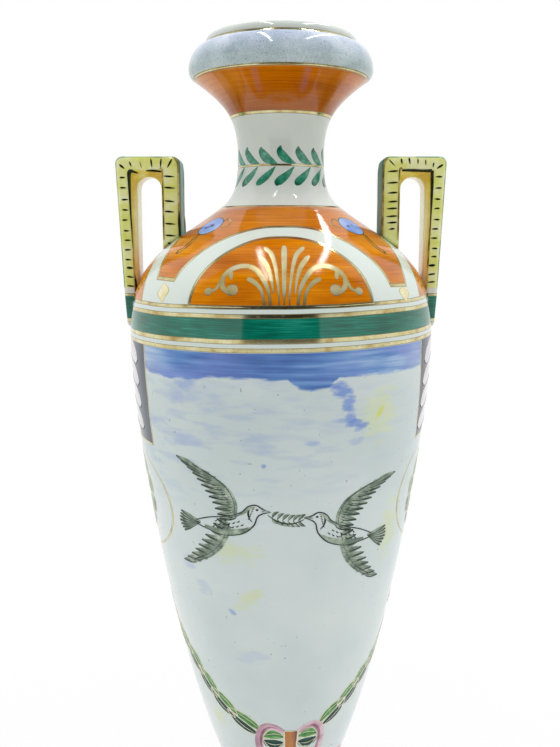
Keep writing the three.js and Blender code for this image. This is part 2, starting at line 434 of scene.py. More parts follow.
# Slate panels stand at both sides, over the gilt line of an oval medallion
panel_edge = coat.side - 57 - coat.right * ((410 - coat.height) * 0.06 + 2.8)
panel = panel_edge.over(0, 0.4) * level.between(344, 408.4)
slate = (0.3, "1E2E3E"), (0.55, "2F4254"), (0.7, "4E6376")
coat.lay(panel, coat.noise(60, 3, (1, 1, 0.4)).ramp(*slate))
coat.gild(panel_edge, -0.6, -0.1, level.between(343, 408.4), soft=0.2, scale=0.6)
coat.gild(level, 342.8, 343.8, panel_edge.over(0, 0.3), scale=0.6)
medallion = ((coat.side - 90) / (41 - coat.right * 5)) ** 2
medallion += ((coat.height - 300 - coat.right * 6) / 38) ** 2
coat.gild(medallion, 0.972, 1.008, soft=0.015, scale=0.035)
coat.lay(coat.height.between(62, 74), "DFE7E4")
coat.gild(level, 72, 74)
coat.gild(level, 62, 63.4)
piece("vase_body", body_shape, coat.finish(), replaced="body")

# The foot is a spreading pedestal, turned by itself and luted under the body. It is
# banded in green and lined with gold.
foot_profile = [
    *curve((0, 34), (16, 34), (24, 15), (42, 0)),
    *curve((51, 0), (54, 3), (54, 6), (51, 9), 8),
    *curve((51, 9), (38, 12), (24, 26), (24, 44))[1:],
    *curve((24, 54), (33, 54), (33, 62), (27, 62), 12),
    at(0, 62),
]
coat = Coat("foot_paint", 30, (0.3, "D0E0DA"), (0.7, "E4EEE7"))
coat.lay(coat.height.between(1, 8.6), brushed_green(coat))
coat.lay(coat.height.between(53.5, 61), brushed_orange(coat)[1])
for low, high in ((8.6, 10.4), (12.6, 13.4), (51.5, 53.5), (60.6, 62.4)):
    coat.gild(coat.height, low, high, coat.radius.over(20))
piece("vase_foot", turned(foot_profile), coat.finish(), replaced="foot")

# The neck is thrown by itself and luted on at the crease. Its trumpet is brushed
# orange between two gold lines, and the rest stays white.
neck_profile = [
    *curve((40.3, 492), (31.3, 499), (28.6, 508), (28.6, 523)),
    *curve((28.6, 523), (28.6, 549.5), (34.6, 557.4), (57.5, 574))[1:],
]
NECK_WALL = 6 * MM
mouth = at(47.9, 574)
neck_inner = [spot for spot in walled(neck_profile, NECK_WALL) if spot.z > 498 * MM and spot.x < mouth.x]
coat = Coat("neck_paint", 20, (0.3, "D7E1D8"), (0.7, "E0EAE1"))
streak, orange = brushed_orange(coat)
outside = (coat.height - coat.radius * 1.2).under(515.5, 1) * coat.radius.over(25.6, 1)
painted = outside * coat.height.over(550)
# The foot of the neck, where it flares out to the shoulder and faces up, is painted paler: painted light
# from above.
coat.lay(coat.height.under(505, 12) * outside * 0.7, "F2F8F2")
coat.lay(painted, orange)
# The orange is darkened a little all over, and more below z 562 on the underside of the trumpet, which faces
# down: painted shade there.
coat.lay(painted * (0.2 + coat.height.under(562, 10) * 0.42), "8C3E00")
coat.relief = painted * streak * 1.5
for low, high in ((549.2, 550.6), (573, 574.4), (491.6, 492.4), (517.7, 518.5)):
    coat.gild(coat.height, low, high, outside)
neck_shape = turned([*neck_profile, mouth, *neck_inner, body_bore, neck_profile[0]])
piece("vase_neck", neck_shape, coat.finish(), replaced="neck")

# Laurel leaves stand in two rows along the stem line of the neck, each one stroke of a
# loaded brush in green enamel, which pools darker at the tip.
LEAF_COUNT = 15
FINEST_LINE = 0.12
PAINT_THICKNESS = 0.2 * MM


def along(marks, share):
    """The place at a share of the way along a smooth line through given marks."""
    spans = len(marks) - 1
    span = min(int(share * spans), spans - 1)
    before, start, end, after = [Vector(marks[min(max(span + i, 0), spans)]) for i in (-1, 0, 1, 2)]
    t = share * spans - span
    return (
        start
        + (end - before) * (t / 2)
        + (before * 2 - start * 5 + end * 4 - after) * (t * t / 2)
        + (start * 3 - before - end * 3 + after) * (t * t * t / 2)
    )


class Brush:
    """Strokes of a brush on a turned piece, kept together as one thin raised layer.
    A mark is a place across in millimetres, or in degrees, a height and a width."""

    behind = False

    def __init__(self, in_degrees=False, lift=0.1, profile=body_profile):
        self.profile = profile
        self.heights = [spot.z for spot in profile]
        self.in_degrees = in_degrees
        self.lift = lift * MM
        self.shape = bmesh.new()
        self.shape.loops.layers.uv.new("stroke")

    def seat(self, point, lift=0.0):
        """The place on the glaze beside a point, at a lift above the glaze."""
        step = min(max(bisect(self.heights, point.z), 1), len(self.heights) - 1)
        low, high = self.profile[step - 1], self.profile[step]
        up = (high - low).normalized()
        here = low.lerp(high, (point.z - low.z) / (high.z - low.z)) + Vector((up.z, 0, -up.x)) * lift
        out = point.xy.normalized() * here.x
        return Vector((*out, here.z))

    def radius(self, height):
        return self.seat(Vector((0, -1, height * MM))).xy.length / MM

    def place(self, across, height):
        """The place on the glaze that a mark names, on the front or on the back."""
        turn = radians(across) if self.in_degrees else across / self.radius(height)
        turn += pi * Brush.behind
        return self.seat(Vector((sin(turn), -cos(turn), height * MM)))

    def stroke(self, *marks, steps=12, sides=2, middle=0, side=1):
        """One stroke through marks that are set out from a middle, and mirrored by a side of -1."""
        marks = [(middle + across * side, height, width) for across, height, width in marks]
        grid = bmesh.ops.create_grid(self.shape, x_segments=steps, y_segments=sides, size=0.5, calc_uvs=True)
        for corner in grid["verts"]:
            share, edge = corner.co.x + 0.5, corner.co.y * 2
            across, height, width = along(marks, share)
            here = self.place(across, height)
            near = [along(marks, min(max(share + step, 0), 1)) for step in (-0.01, 0.01)]
            ends = [self.place(spot.x, spot.y) for spot in near]
            outward = self.seat(here, MM) - here
            sideways = outward.cross(ends[1] - ends[0]).normalized()
            there = here + sideways * (edge * max(width, FINEST_LINE) * MM / 2)
            corner.co = self.seat(there, self.lift * (1 - 0.3 * edge * edge))

    def finish(self, name, material, slot="ground_glaze"):
        bmesh.ops.solidify(self.shape, geom=self.shape.faces[:], thickness=PAINT_THICKNESS)
        made = piece(name, self.shape, material)
        made.data.set_sharp_from_angle(angle=radians(40))


def front_and_back():
    """Lets the brushes work on the front, then on the back, and leaves them at the front."""
    for Brush.behind in (False, True):
        yield Brush.behind
    Brush.behind = False


leaves = Brush(in_degrees=True, profile=neck_profile)
for i in range(LEAF_COUNT):
    stem, sway = -53 + i * 360 / LEAF_COUNT, sin(i * 2.4)
    tip, bend = (sway - 20, 529.6 + sway * 0.4, 0.7), (-12.5, 521.8, 5.2 - sway * 0.4)
    leaves.stroke(tip, (-20, 526.2, 4.6), bend, (0, 519, 0.6), steps=16, sides=4, middle=stem)
    tip, bend = (sway - 23, 505.4 - sway * 0.5, 1.4), (-20, 507.4, 4.8 + sway * 0.5)
    leaves.stroke(tip, bend, (-10, 511.6, 4.2), (0, 517, 0.6), steps=16, sides=4, middle=stem - 2)
coat = Coat("leaf_enamel")
coat.colour = coat.noise(300, 2).ramp((0.32, "2B8468"), (0.5, "3E9678"), (0.68, "63B097"))
coat.lay(coat.share.under(0.34, 0.2) * coat.noise(110, 1).over(0.45, 0.1) * 0.85, "005C42")
coat.lay((1 - coat.width.between(0.08, 0.92, 0.12)) * 0.6, "12694F")
leaves.finish("laurel_leaves", coat.finish())

# The lip is a rounded roll on the edge of the trumpet, with a small bead round the
# mouth. Its glaze is blue-grey and finely speckled.
lip_profile = [
    *curve((57.5, 574), (58.8, 574), (60.2, 576.5), (60.2, 579), 8),
    *curve((60.2, 579), (60.2, 587), (55, 594), (49.5, 594), 16)[1:],
    *curve((49.5, 594), (49.5, 602), (41.5, 602), (41.5, 594), 16)[1:],
    *curve((41.5, 594), (41.5, 584), (47.9, 580), (47.9, 574), 12)[1:],
    at(57.5, 574),
]
coat = Coat("lip_glaze")
shade = coat.noise(50, 4) * 0.6 + coat.noise(1500, 1) * 0.4
grey = shade.ramp((0.36, "9CB0B2"), (0.5, "B6C8CA"), (0.64, "CEDCE0"))
lilac = shade.ramp((0.36, "AFBDD4"), (0.5, "CAD6EA"), (0.64, "E4ECFA"))
coat.colour = coat.height.over(585, 12).mix(grey, lilac)
coat.lay(coat.noise(800, 1).over(0.68, 0.03) * 0.5, "5C6C7C")
coat.lay(coat.radius.under(49.6), "D4DBD4")
coat.gild(coat.height, 593.6, 594.9, coat.radius.over(48.6))
piece("vase_lip", turned(lip_profile), coat.finish(), "lip")

# The gilding of the shoulder is liquid gold laid on with a fine brush: a palmette with
# scrolls in each lunette, and thin tendrils beside it in the outer fields.
PALMETTE_MIDDLE = 1.8
gilding = Brush()
palmette = partial(gilding.stroke, middle=PALMETTE_MIDDLE)


def ball(across, height, size):
    """A round dab of gold, as the tip of the brush leaves it."""
    round_line = (-1, 0), (-0.72, 1.4), (0, 2), (0.72, 1.4), (1, 0)
    marks = [(across + share * size, height, max(width * size, 0.2)) for share, width in round_line]
    palmette(*marks, steps=14, sides=4)


LEAF_LINES = (
    ((11.4, 467.3, 1.4), (10.3, 466, 3), (7.4, 463.2, 3),
     (5.2, 457, 2.4), (3.9, 449, 1.8), (3.1, 441.8, 1.2)),
    ((3.1, 441.8, 1.2), (3, 438, 0.8), (3, 434.9, 0.7)),
    ((14.6, 462.4, 1.2), (13.2, 460.9, 2.9), (10, 456.8, 3.2),
     (7.7, 450.9, 2.2), (6.6, 445, 1.3), (6.2, 441.6, 0.7)),
    ((21.4, 449.6, 1.6), (20.2, 449.2, 3), (17.2, 447.7, 3),
     (14.3, 445, 2.4), (12.5, 441.6, 1.9), (11.2, 434.9, 1.7)),
)
SCROLL_LINES = (
    ((7.9, 434.9, 1.8), (8.4, 440.4, 1.8), (9.7, 445, 2.6),
     (12.6, 450.4, 3.2), (16.1, 454.4, 3.4), (20.3, 456.5, 3.3)),
    ((20.3, 456.5, 3.3), (25.9, 456.3, 3.6), (31.6, 454.2, 3.6), (35.5, 450.9, 3.2)),
    ((35.5, 450.9, 3.2), (38, 447, 2.2), (40.5, 443.4, 1.9), (44.4, 441.9, 2.2)),
    ((34, 452.6, 2), (36.3, 448.6, 3.1), (36, 444.8, 3.3), (33, 442.2, 3.1), (30, 442.4, 3)),
    ((31.6, 454.6, 2), (31.2, 451.8, 3), (30.7, 449.2, 1.8)),
)
TENDRIL_LINES = (
    ((58, 475, 0.8), (63, 469.6, 1.1), (68.6, 465.4, 1.1), (75, 463, 1.4), (74.6, 464.7, 0.9)),
    ((74.6, 464.7, 0.9), (69.6, 466.6, 1), (64.6, 470.6, 1.1), (61, 474.4, 1.2)),
    ((40, 478.6, 0.6), (35.4, 479.6, 0.9), (33, 482.2, 0.9), (36, 484.2, 0.9), (39.6, 482.2, 0.6)),
)
tendrils = Brush()
for _ in front_and_back():
    stem = (0, 468, 1.6), (0, 465.4, 3.6), (0, 455, 3.1), (0, 441.6, 2.5)
    palmette(*stem, steps=16)
    palmette((0, 441.8, 2.5), (0, 438, 1), (0, 434.9, 0.8))
    for side in (-1, 1):
        for marks in LEAF_LINES + SCROLL_LINES:
            palmette(*marks, steps=5 * len(marks), side=side)
        ball(45.2 * side, 442.1, 2.6)
        ball(30.2 * side, 443.2, 3.6)
        for marks in TENDRIL_LINES:
            tendrils.stroke(*marks, steps=16, side=side)
coat = Coat("gilding", 95, (0.3, "CDB97C"), (0.46, "E3D398"), (0.66, "F0E7BE"))
coat.lay(abs(coat.width - 0.5).over(0.44, 0.06) * 0.6, GOLD_SHADE)
# Low on the palmettes, below z 440, the gold is painted dark brown: a painted dark reflection.
coat.lay(coat.height.under(440, 8) * 0.75, "54410F")
gold_leaf = coat.finish(roughness=0.26, metallic=0.4)
gilding.finish("shoulder_gilding", gold_leaf)
coat = Coat("worn_gilding", 130, (0.36, "4E4412"), (0.5, "7A6A22"), (0.66, "C9B66A"))
tendrils.finish("shoulder_tendrils", coat.finish(roughness=GOLD_ROUGHNESS, metallic=0.3))

# Lozenges of pale yellow enamel stand in the white corners of the shoulder, each with
# a fine gilt outline. The left one is taller.
LOZENGES = (
    ((-79.6, 446.2, 0.3), (-80, 443.2, 6.4), (-80, 440.2, 11.6), (-80.2, 436.8, 5.4), (-80.4, 434, 0.3)),
    ((85.6, 442.7, 1.4), (85.8, 441.4, 8.6), (86, 439.2, 11), (86.4, 437, 6), (87, 434.9, 0.6)),
)
lozenges = Brush()
for _ in front_and_back():
    for marks in LOZENGES:
        lozenges.stroke(*marks, steps=20, sides=4)
coat = Coat("lozenge_enamel", 160, (0.3, "F0E2A0"), (0.5, "F6EDBE"), (0.7, "FBF6DC"))
coat.lay(abs(coat.width - 0.5).over(0.42, 0.06), "CDBF7C")
lozenges.finish("shoulder_lozenges", coat.finish())

# Pale scallops hang in pairs down the middle of each slate panel at the sides, one
# over the other, with a fine dark line under each.
SCALLOP = (1.5, 0, 2), (10, 1, 13), (17, 3.4, 15.4), (23, 6.8, 10.6), (25.4, 8.4, 1.5)
SCALLOP_TOP = 404
SCALLOP_PITCH = 14.6
scallops = Brush(in_degrees=True)
scallop_lines = Brush(in_degrees=True, lift=0.22)
for middle in (-90, 90):
    for side in (-1, 1):
        for i in range(4):
            top = SCALLOP_TOP - i * SCALLOP_PITCH
            marks = [(across, top - fall, width) for across, fall, width in SCALLOP]
            scallops.stroke(*marks, steps=14, sides=6, middle=middle, side=side)
            lower = [(across, height - width * 0.44, 0.6) for across, height, width in marks]
            scallop_lines.stroke(*lower, steps=14, middle=middle, side=side)
coat = Coat("scallop_enamel", 120, (0.3, "D8CDD8"), (0.5, "E6E0E6"), (0.7, "F0EFF0"))
coat.lay(coat.share.under(0.2, 0.3) * 0.5, "B9A9BE")
scallops.finish("panel_scallops", coat.finish())
coat = Coat("ink_line", 260, (0.35, "14221F"), (0.65, "35453C"))
ink_line = coat.finish(specular=0.2)
scallop_lines.finish("panel_scallop_lines", ink_line)

# Two doves fly towards each other over the white belly, with an olive sprig between them,
# and one flies over the back. They are sketched in ink, with a wash of grey-green.
washes = Brush()
lines = Brush(lift=0.22)


def wing(draw, front_edge, sweep, count, size):
    """A wing from its shoulder over its wrist to its tip, with its feathers side by side."""
    for i in range(count):
        share = i / (count - 1)
        root = along(front_edge, 0.05 + share * 0.87)
        reach = size * (0.72 + 0.42 * sin(share * 2.3))
        lean = sweep[0] + (sweep[1] - sweep[0]) * share
        feather = Vector((cos(lean), sin(lean))) * reach
        bend, end = root + feather / 2 + Vector((0.8, -0.8)), root + feather
        washes.lift = (0.06 + 0.012 * i) * MM
        draw(washes, (*root, 2.6), (*bend, 4.4), (*end, 0.9), steps=8)
        for shift, thick in ((1.7, 0.55), (0.3, 0.3)):
            start, middle = [(x + shift, y - shift) for x, y in (root, bend)]
            draw(lines, (*start, 0.2), (*middle, thick), (*end, thick * 1.5), steps=8)
    washes.lift = 0.2 * MM
    ridge = [along(front_edge, share) for share in (0.02, 0.25, 0.5, 0.75, 0.96)]
    arm = [(spot.x - 0.9, spot.y - 1.1, width) for spot, width in zip(ridge, (4.2, 5.4, 5, 3.4, 0.8))]
    draw(washes, *arm, steps=16, sides=4)
    for i in range(count - 2):
        spot = along(front_edge, 0.1 + 0.72 * i / (count - 3))
        touch = (1, 3, 0.2), (2.8, 4, 0.5), (4, 2.6, 0.3)
        draw(lines, *[(spot.x - x, spot.y - y, width) for x, y, width in touch], steps=5)
    draw(lines, *[(*spot, 0.75) for spot in ridge], steps=20)


HEAD_AND_BACK = (
    ((31, 4, 0.3), (26.4, 6.6, 0.8), (23, 9.6, 0.8), (18, 9.4, 0.7), (13, 6, 0.7), (5, 4, 0.6),
     (-9, 3.4, 0.7), (-20, 1.4, 0.6)),
    ((31, 4, 0.3), (26.4, 3.8, 0.7), (22.5, 2, 0.8), (19, -3.6, 0.9), (11, -8.2, 0.8), (-1, -8.6, 0.7),
     (-12, -4.6, 0.7), (-20, -1.2, 0.6)),
    ((19.5, 9, 0.3), (17.4, 5.8, 1.2), (17.2, 2, 0.9), (18.6, -1, 0.3)),
    ((25.4, 5.2, 0.3), (28, 4.9, 0.6), (31, 4, 0.3)),
)
BREAST_WASHES = (
    ((17, -4.6, 0.6), (9, -6.6, 3.2), (-2, -6.4, 4), (-14, -2.6, 1.6)),
    ((22, 8.6, 0.5), (18.6, 8, 1.8), (14.6, 5.6, 1.4), (9, 3.4, 0.5)),
    ((26.6, 5.4, 0.5), (28.4, 5, 1.6), (31, 4, 0.4)),
)
FRONT_FLIGHTS = (-36, 302, 1, 0.16), (42, 294, -1, 0.3)
BACK_FLIGHTS = ((4, 300, 1, 0.2),)


def dove(across, height, facing, tilt):
    """One dove in flight, seen from its side, its beak towards the facing side."""
    c, s = cos(tilt), sin(tilt)

    def draw(brush, *marks, **how):
        marks = [(across + facing * (x * c - y * s), height + x * s + y * c, width) for x, y, width in marks]
        brush.stroke(*marks, **how)

    wing(draw, ((4, -1), (-3, -12), (-13, -21), (-29, -27)), (2.6, 3.3), 10, 12)
    washes.lift = 0.24 * MM
    for marks in BREAST_WASHES:
        draw(washes, *marks, steps=14, sides=4)
    wing(draw, ((8, 4), (9, 16), (1, 28), (-17, 39)), (3.4, 2.72), 12, 15)
    for marks in HEAD_AND_BACK:
        draw(lines, *marks, steps=5 * len(marks))
    for i in range(7):
        lean = pi + (i - 3) * 0.15
        feather = Vector((cos(lean), sin(lean))) * (17 - abs(i - 3) * 0.4)
        middle, end = [Vector((-18, 0)) + feather * share for share in (0.55, 1)]
        washes.lift = (0.06 + 0.012 * i) * MM
        draw(washes, (-17, 0, 1.4), (*middle, 2.8), (*end, 1.4), steps=8)
        draw(lines, (-17, -0.6, 0.2), (middle.x, middle.y - 1, 0.45), (*end, 0.8), steps=8)
    for row in range(4):
        for i in range(8 - row):
            x, y = 15 - i * 3.2 - row * 2, -5.6 + row * 2.4 + (i - 3) ** 2 * 0.14
            draw(lines, (x, y, 0.25), (x - 1, y - 0.8, 0.75), (x - 2.1, y - 0.9, 0.25), steps=4)
    for i in range(5):
        x, y = 21.4 - i * 0.9, 7.6 - i * 1.5
        draw(lines, (x, y, 0.2), (x - 0.8, y - 0.2, 0.55), (x - 1.5, y - 0.9, 0.2), steps=4)
    draw(lines, (22.2, 6.4, 0.5), (23, 6.6, 1.4), (23.8, 6.4, 0.5), steps=6)


for back in front_and_back():
    for flight in BACK_FLIGHTS if back else FRONT_FLIGHTS:
        dove(*flight)
washes.lift = 0.1 * MM
lines.stroke((-8, 309, 0.3), (-1, 304.6, 0.8), (7, 303.4, 0.8), (14, 306, 0.3), steps=16)
for i in range(6):
    x, y = -5.5 + i * 3.2, 307.4 - i * 1.2 + i * i * 0.16
    for up in (-1, 1):
        washes.stroke((x, y, 0.3), (x + 1.6, y + 2.6 * up, 2.2), (x + 4.2, y + 4 * up, 0.3), steps=8)
        lines.stroke((x, y, 0.2), (x + 2.1, y + 2.2 * up, 0.4), (x + 4.2, y + 4 * up, 0.3), steps=8)
coat = Coat("ink_wash")
coat.colour = coat.noise(160, 4).ramp((0.32, "5E7260"), (0.5, "8FA48E"), (0.68, "C2D0BE"))
coat.lay(coat.share.over(0.74, 0.5) * 0.6, "374A3C")
washes.finish("dove_washes", coat.finish())
lines.finish("dove_lines", ink_line)

# A garland of leaves in two greens hangs from side to side round the lower body, and
# its leaves are outlined in cream.
BOW_TURN = 6.6
GARLAND_PAIRS = 6
light_leaves = Brush(in_degrees=True)
dark_leaves = Brush(in_degrees=True)
leaf_lines = Brush(in_degrees=True, lift=0.2)
garlands = {
    -1: ((75.6, 204), (64.7, 190), (57.3, 177.3), (47.7, 164), (35.9, 152.6), (19, 141.4)),
    1: ((74, 199), (62.8, 188.5), (52.4, 178.6), (41.9, 168.6), (31.3, 157.8), (19, 146.4)),
}


def leaf_pair(start, end, middle, size=1.0):
    """A light leaf over a dark one between two places, with their cream outlines."""
    (t0, h0), (t1, h1) = start, end
    radius = light_leaves.radius((h0 + h1) / 2)
    run, fall = radians(t1 - t0) * radius, h1 - h0
    length = hypot(run, fall)
    facing = copysign(1, -run)
    for brush, offset in ((light_leaves, 3.1 * size), (dark_leaves, -3.1 * size)):

        def beside(share, away, width=0.0):
            """A mark at a share of the way between the places and at a distance beside it."""
            turn = t0 + (t1 - t0) * share + degrees(fall / length * away * facing / radius)
            return turn, h0 + (h1 - h0) * share - run / length * away * facing, width

        root, tip = beside(0, offset * 0.3, 0.6), beside(1, offset * 0.5, 0.6)
        blade = beside(0.3, offset, 6.1 * size), beside(0.7, offset, 6 * size)
        brush.stroke(root, *blade, tip, steps=14, sides=4, middle=middle)
        for edge in (offset * 1.96, offset * 0.06):
            leaf_lines.stroke(root, beside(0.3, edge, 0.65), beside(0.7, edge, 0.65), tip, middle=middle)
        vein = beside(0.12, offset * 0.8, 0.2), beside(0.5, offset * 1.25, 0.55), beside(0.88, offset, 0.2)
        leaf_lines.stroke(*vein, middle=middle)


for back in front_and_back():
    middle = BOW_TURN * (not back)
    for side, spine in garlands.items():
        spine = (90 - middle * side, 219), *spine
        for i in range(GARLAND_PAIRS):
            start, end = [along(spine, (i + step) / GARLAND_PAIRS) for step in (-0.42 * (i > 0), 1.04)]
            for brush in (light_leaves, dark_leaves, leaf_lines):
                brush.lift += 0.03 * MM * (-1) ** i
            leaf_pair((start.x * side, start.y), (end.x * side, end.y), middle)
        leaf_pair((18.8 * side, 137.6), (4.2 * side, 137.2), middle, size=1.3)
        leaf_pair((15.4 * side, 124.6), (4.2 * side, 124.8), middle, size=0.7)
MEDALLION_PAIRS = 12
for side in (-1, 1):
    for i in range(MEDALLION_PAIRS):
        ends = [tau * (i + step) / MEDALLION_PAIRS for step in (0, 1)]
        start, end = [(22 * sin(lean), 303 - 26 * cos(lean)) for lean in ends]
        leaf_pair(start, end, 90 * side)
for brush, name, tones in (
    (light_leaves, "garland_leaves_light", ("3C7C34", "5CA052", "98CA8E")),
    (dark_leaves, "garland_leaves_dark", ("002C26", "00463C", "166A5C")),
):
    coat = Coat(name)
    vein = coat.noise(260) * 0.7 + abs(coat.width - 0.5) * 0.5
    coat.colour = vein.ramp(*zip((0.34, 0.5, 0.66), tones))
    brush.finish(name, coat.finish(specular=0.25))
coat = Coat("cream_line", 200, (0.3, "E2DDB4"), (0.6, "F4F1DA"))
cream_line = coat.finish()
leaf_lines.finish("garland_outlines", cream_line)

# The garland is tied by a pink ribbon: a bow with two loops round the last leaves, an
# orange-brown knot, and ends that flutter to both sides.
ribbon = Brush(in_degrees=True, lift=0.24)
ribbon_shade = Brush(in_degrees=True, lift=0.3)
knot = Brush(in_degrees=True, lift=0.3)
knot_lines = Brush(in_degrees=True, lift=0.36)
BOW_LOOP = (
    (4.4, 143.6, 3.2), (9.8, 147.6, 5), (14.6, 148.8, 5.6), (18.4, 146, 5.8), (20.8, 140, 5.6),
    (21.8, 131, 5.4), (20, 122.4, 5), (13, 118.6, 4.6), (5, 122, 3.4),
)
BOW_TAIL = (3, 118, 3), (9, 109, 5), (22, 101, 5.6), (37, 104.4, 5.4), (50, 109.6, 4.6), (60, 104.6, 1.5)
SIDE_BOW_LOOP = (
    (1.5, 218.6, 2), (5, 223.6, 3.2), (10.4, 225, 3.8), (12.4, 220, 3.6), (8, 215.8, 3), (1.5, 217.4, 1.6),
)
SIDE_BOW_TAIL = (1, 216, 2), (3, 209.6, 3.4), (2.6, 203, 3), (5, 197.6, 0.8)
for back in front_and_back():
    middle = BOW_TURN * (not back)
    for side in (-1, 1):
        for marks in (BOW_LOOP, BOW_TAIL):
            ribbon.stroke(*marks, steps=6 * len(marks), sides=4, middle=middle, side=side)
            for first, shift, width in ((1, 0.22, 1.6), (2, 0.44, 0.7)):
                fold = marks[first : first + 5]
                inner = [(turn - shift * 4, height - shift * 2) for turn, height, _ in fold]
                shade = (*inner[0], 0.2), *[(*spot, width) for spot in inner[1:-1]], (*inner[-1], 0.2)
                ribbon_shade.stroke(*shade, steps=24, middle=middle, side=side)
        knot_lines.stroke((4.6, 144.8, 0.9), (4.2, 133, 0.9), (4.6, 120, 0.9), middle=middle, side=side)
    knot.stroke((0, 144.6, 9.2), (0, 133, 8.8), (0, 120, 9.2), steps=16, sides=6, middle=middle)
    knot_lines.stroke((-4.4, 144.9, 0.6), (4.4, 144.9, 0.6), middle=middle)
for middle in (-90, 90):
    for side in (-1, 1):
        for marks in (SIDE_BOW_LOOP, SIDE_BOW_TAIL):
            ribbon.stroke(*marks, steps=4 * len(marks), sides=4, middle=middle, side=side)
    knot.stroke((0, 221.8, 3), (0, 218.4, 4.6), (0, 215, 3), sides=4, middle=middle)
coat = Coat("ribbon_enamel")
silk = coat.noise(120) * 0.7 + coat.width * 0.3
coat.colour = silk.ramp((0.34, "B8899A"), (0.5, "D3A9B8"), (0.64, "E8CFD6"))
ribbon.finish("ribbon", coat.finish())
coat = Coat("ribbon_shade", 120, (0.35, "8E4E68"), (0.6, "AC7488"))
ribbon_shade.finish("ribbon_shading", coat.finish())
coat = Coat("knot_enamel")
folds = coat.noise(120, 3, (2, 2, 0.3)) * 0.5 + coat.width * 0.5
coat.colour = folds.ramp((0.2, "B4702C"), (0.5, "C98030"), (0.68, "8A4A2E"), (0.85, "6E3A2C"))
knot.finish("bow_knot", coat.finish())
knot_lines.finish("bow_knot_lines", cream_line)

# The handles are cast angular loops, luted on the shoulder and down the side. A window
# slopes in to a round-topped slot, and the enamel is lime yellow with dark dashes.
HANDLE_FACE = 14
BEND_HEIGHT = 437
TAIL_DROP = 25
LEG_ROOT = 2
SHARPEST_CORNER = 0.4
RINGS = 18
OUTER = {"inner": 66.2, "top": 525, "outer": 108.6, "bend": 105.2, "tail": 103.6, "corner": 5}
RECESS = {"inner": 77.8, "top": 516, "outer": 99, "bend": 97.2, "tail": 99, "corner": 1}
SLOT = {"inner": 79, "top": 511.6, "outer": 94.7, "bend": 95.2, "tail": 98, "corner": 7.3}
HALF_SECTION = (
    (SLOT, 0, 0), (SLOT, 0, 8), (SLOT, 0.3, 9.1), (RECESS, -0.5, 13.1), (RECESS, 0.5, 14), (OUTER, -4, 14),
    (OUTER, -2, 13.9), (OUTER, -0.6, 13.1), (OUTER, 0, 11.4), (OUTER, 0, 0),
)
LEG, CORNER, TOP, TAIL = 10, 6, 8, 4
STATIONS = 2 * LEG + 2 * CORNER + TOP + TAIL


def loop_line(line, grow):
    """The places along one outline of the loop, from the root of its inner leg to its tail."""
    inner, outer, top = line["inner"] - grow, line["outer"] + grow, line["top"] + grow
    bend, tail = line["bend"] + grow, line["tail"] + grow
    corner = max(line["corner"] + grow, SHARPEST_CORNER)
    low = top - corner

    def run(x0, z0, x1, z1, steps):
        return [(x0 + (x1 - x0) * i / steps, z0 + (z1 - z0) * i / steps) for i in range(steps)]

    def arc(middle, start):
        turns = [start - pi / 2 * i / CORNER for i in range(CORNER)]
        return [(middle + corner * cos(turn), low + corner * sin(turn)) for turn in turns]

    return [
        *run(inner, body_height(inner) - LEG_ROOT, inner, low, LEG),
        *arc(inner + corner, pi),
        *run(inner + corner, top, outer - corner, top, TOP),
        *arc(outer - corner, pi / 2),
        *run(outer, low, bend, BEND_HEIGHT, LEG),
        *run(bend, BEND_HEIGHT, tail, BEND_HEIGHT - TAIL_DROP, TAIL),
        (tail, BEND_HEIGHT - TAIL_DROP),
    ]


def body_height(radius):
    """The height at which the shoulder has a radius, in millimetres."""
    low, high = next(pair for pair in zip(shoulder, shoulder[1:]) if pair[1].x <= radius * MM)
    return low.lerp(high, (low.x - radius * MM) / max(low.x - high.x, 1e-9)).z / MM


def handle(side):
    """One handle: rings of its half section, set round the loop from station to station."""
    shape = bmesh.new()
    shape.loops.layers.uv.new("loop")
    lines = [loop_line(line, grow) for line, grow, _ in HALF_SECTION]
    grid = bmesh.ops.create_grid(shape, x_segments=STATIONS, y_segments=RINGS, size=0.5, calc_uvs=True)
    for corner in grid["verts"]:
        station, ring = round((corner.co.x + 0.5) * STATIONS), round((corner.co.y + 0.5) * RINGS)
        step = min(ring, RINGS - ring)
        x, z = lines[step][station]
        depth = HALF_SECTION[step][2]
        corner.co = Vector((x * side, -depth if ring < RINGS / 2 else depth, z)) * MM
    bmesh.ops.remove_doubles(shape, verts=shape.verts, dist=1e-6)
    rims = [edge for edge in shape.edges if edge.is_boundary]
    bmesh.ops.holes_fill(shape, edges=rims, sides=0)
    bmesh.ops.recalc_face_normals(shape, faces=shape.faces)
    return shape


coat = Coat("handle_paint")
ring = RINGS / 2 - abs(coat.width * RINGS - RINGS / 2)
lime = coat.noise(70, 3, (1, 0.3, 1.6))
coat.colour = lime.ramp((0.3, "E0E574"), (0.5, "ECF094"), (0.7, "F6F8C6"))
slope = ring.between(1.7, 3.5, 0.3)
ochre = coat.mottle(60, (0.36, "F6F09C"), (0.45, "F0DC44"), (0.55, "E2BC06"))
slot_wall = ring.under(1.7, 0.5)
coat.lay(slot_wall, coat.mottle(40, (0.3, "F4F5CC"), (0.7, "FAFBE6")))
coat.lay(slot_wall * coat.height.over(505, 12) * 0.5, "F0DC50")
coat.lay(slope, "F8F8C4")
coat.lay(ring.between(2.6, 3.6, 0.6) * abs(coat.x).over(95, 2) * 0.7, ochre)
coat.lay(slope * coat.height.over(498, 24) * 0.9, ochre)
neck_side = ring.over(7.3, 0.3) * abs(coat.x).under(72, 6)
blotch = coat.noise(110, 4).over(0.5, 0.12)
coat.lay(ring.over(8.05, 0.2), coat.mottle(50, (0.3, "B9CF9A"), (0.7, "E2E8BE")))
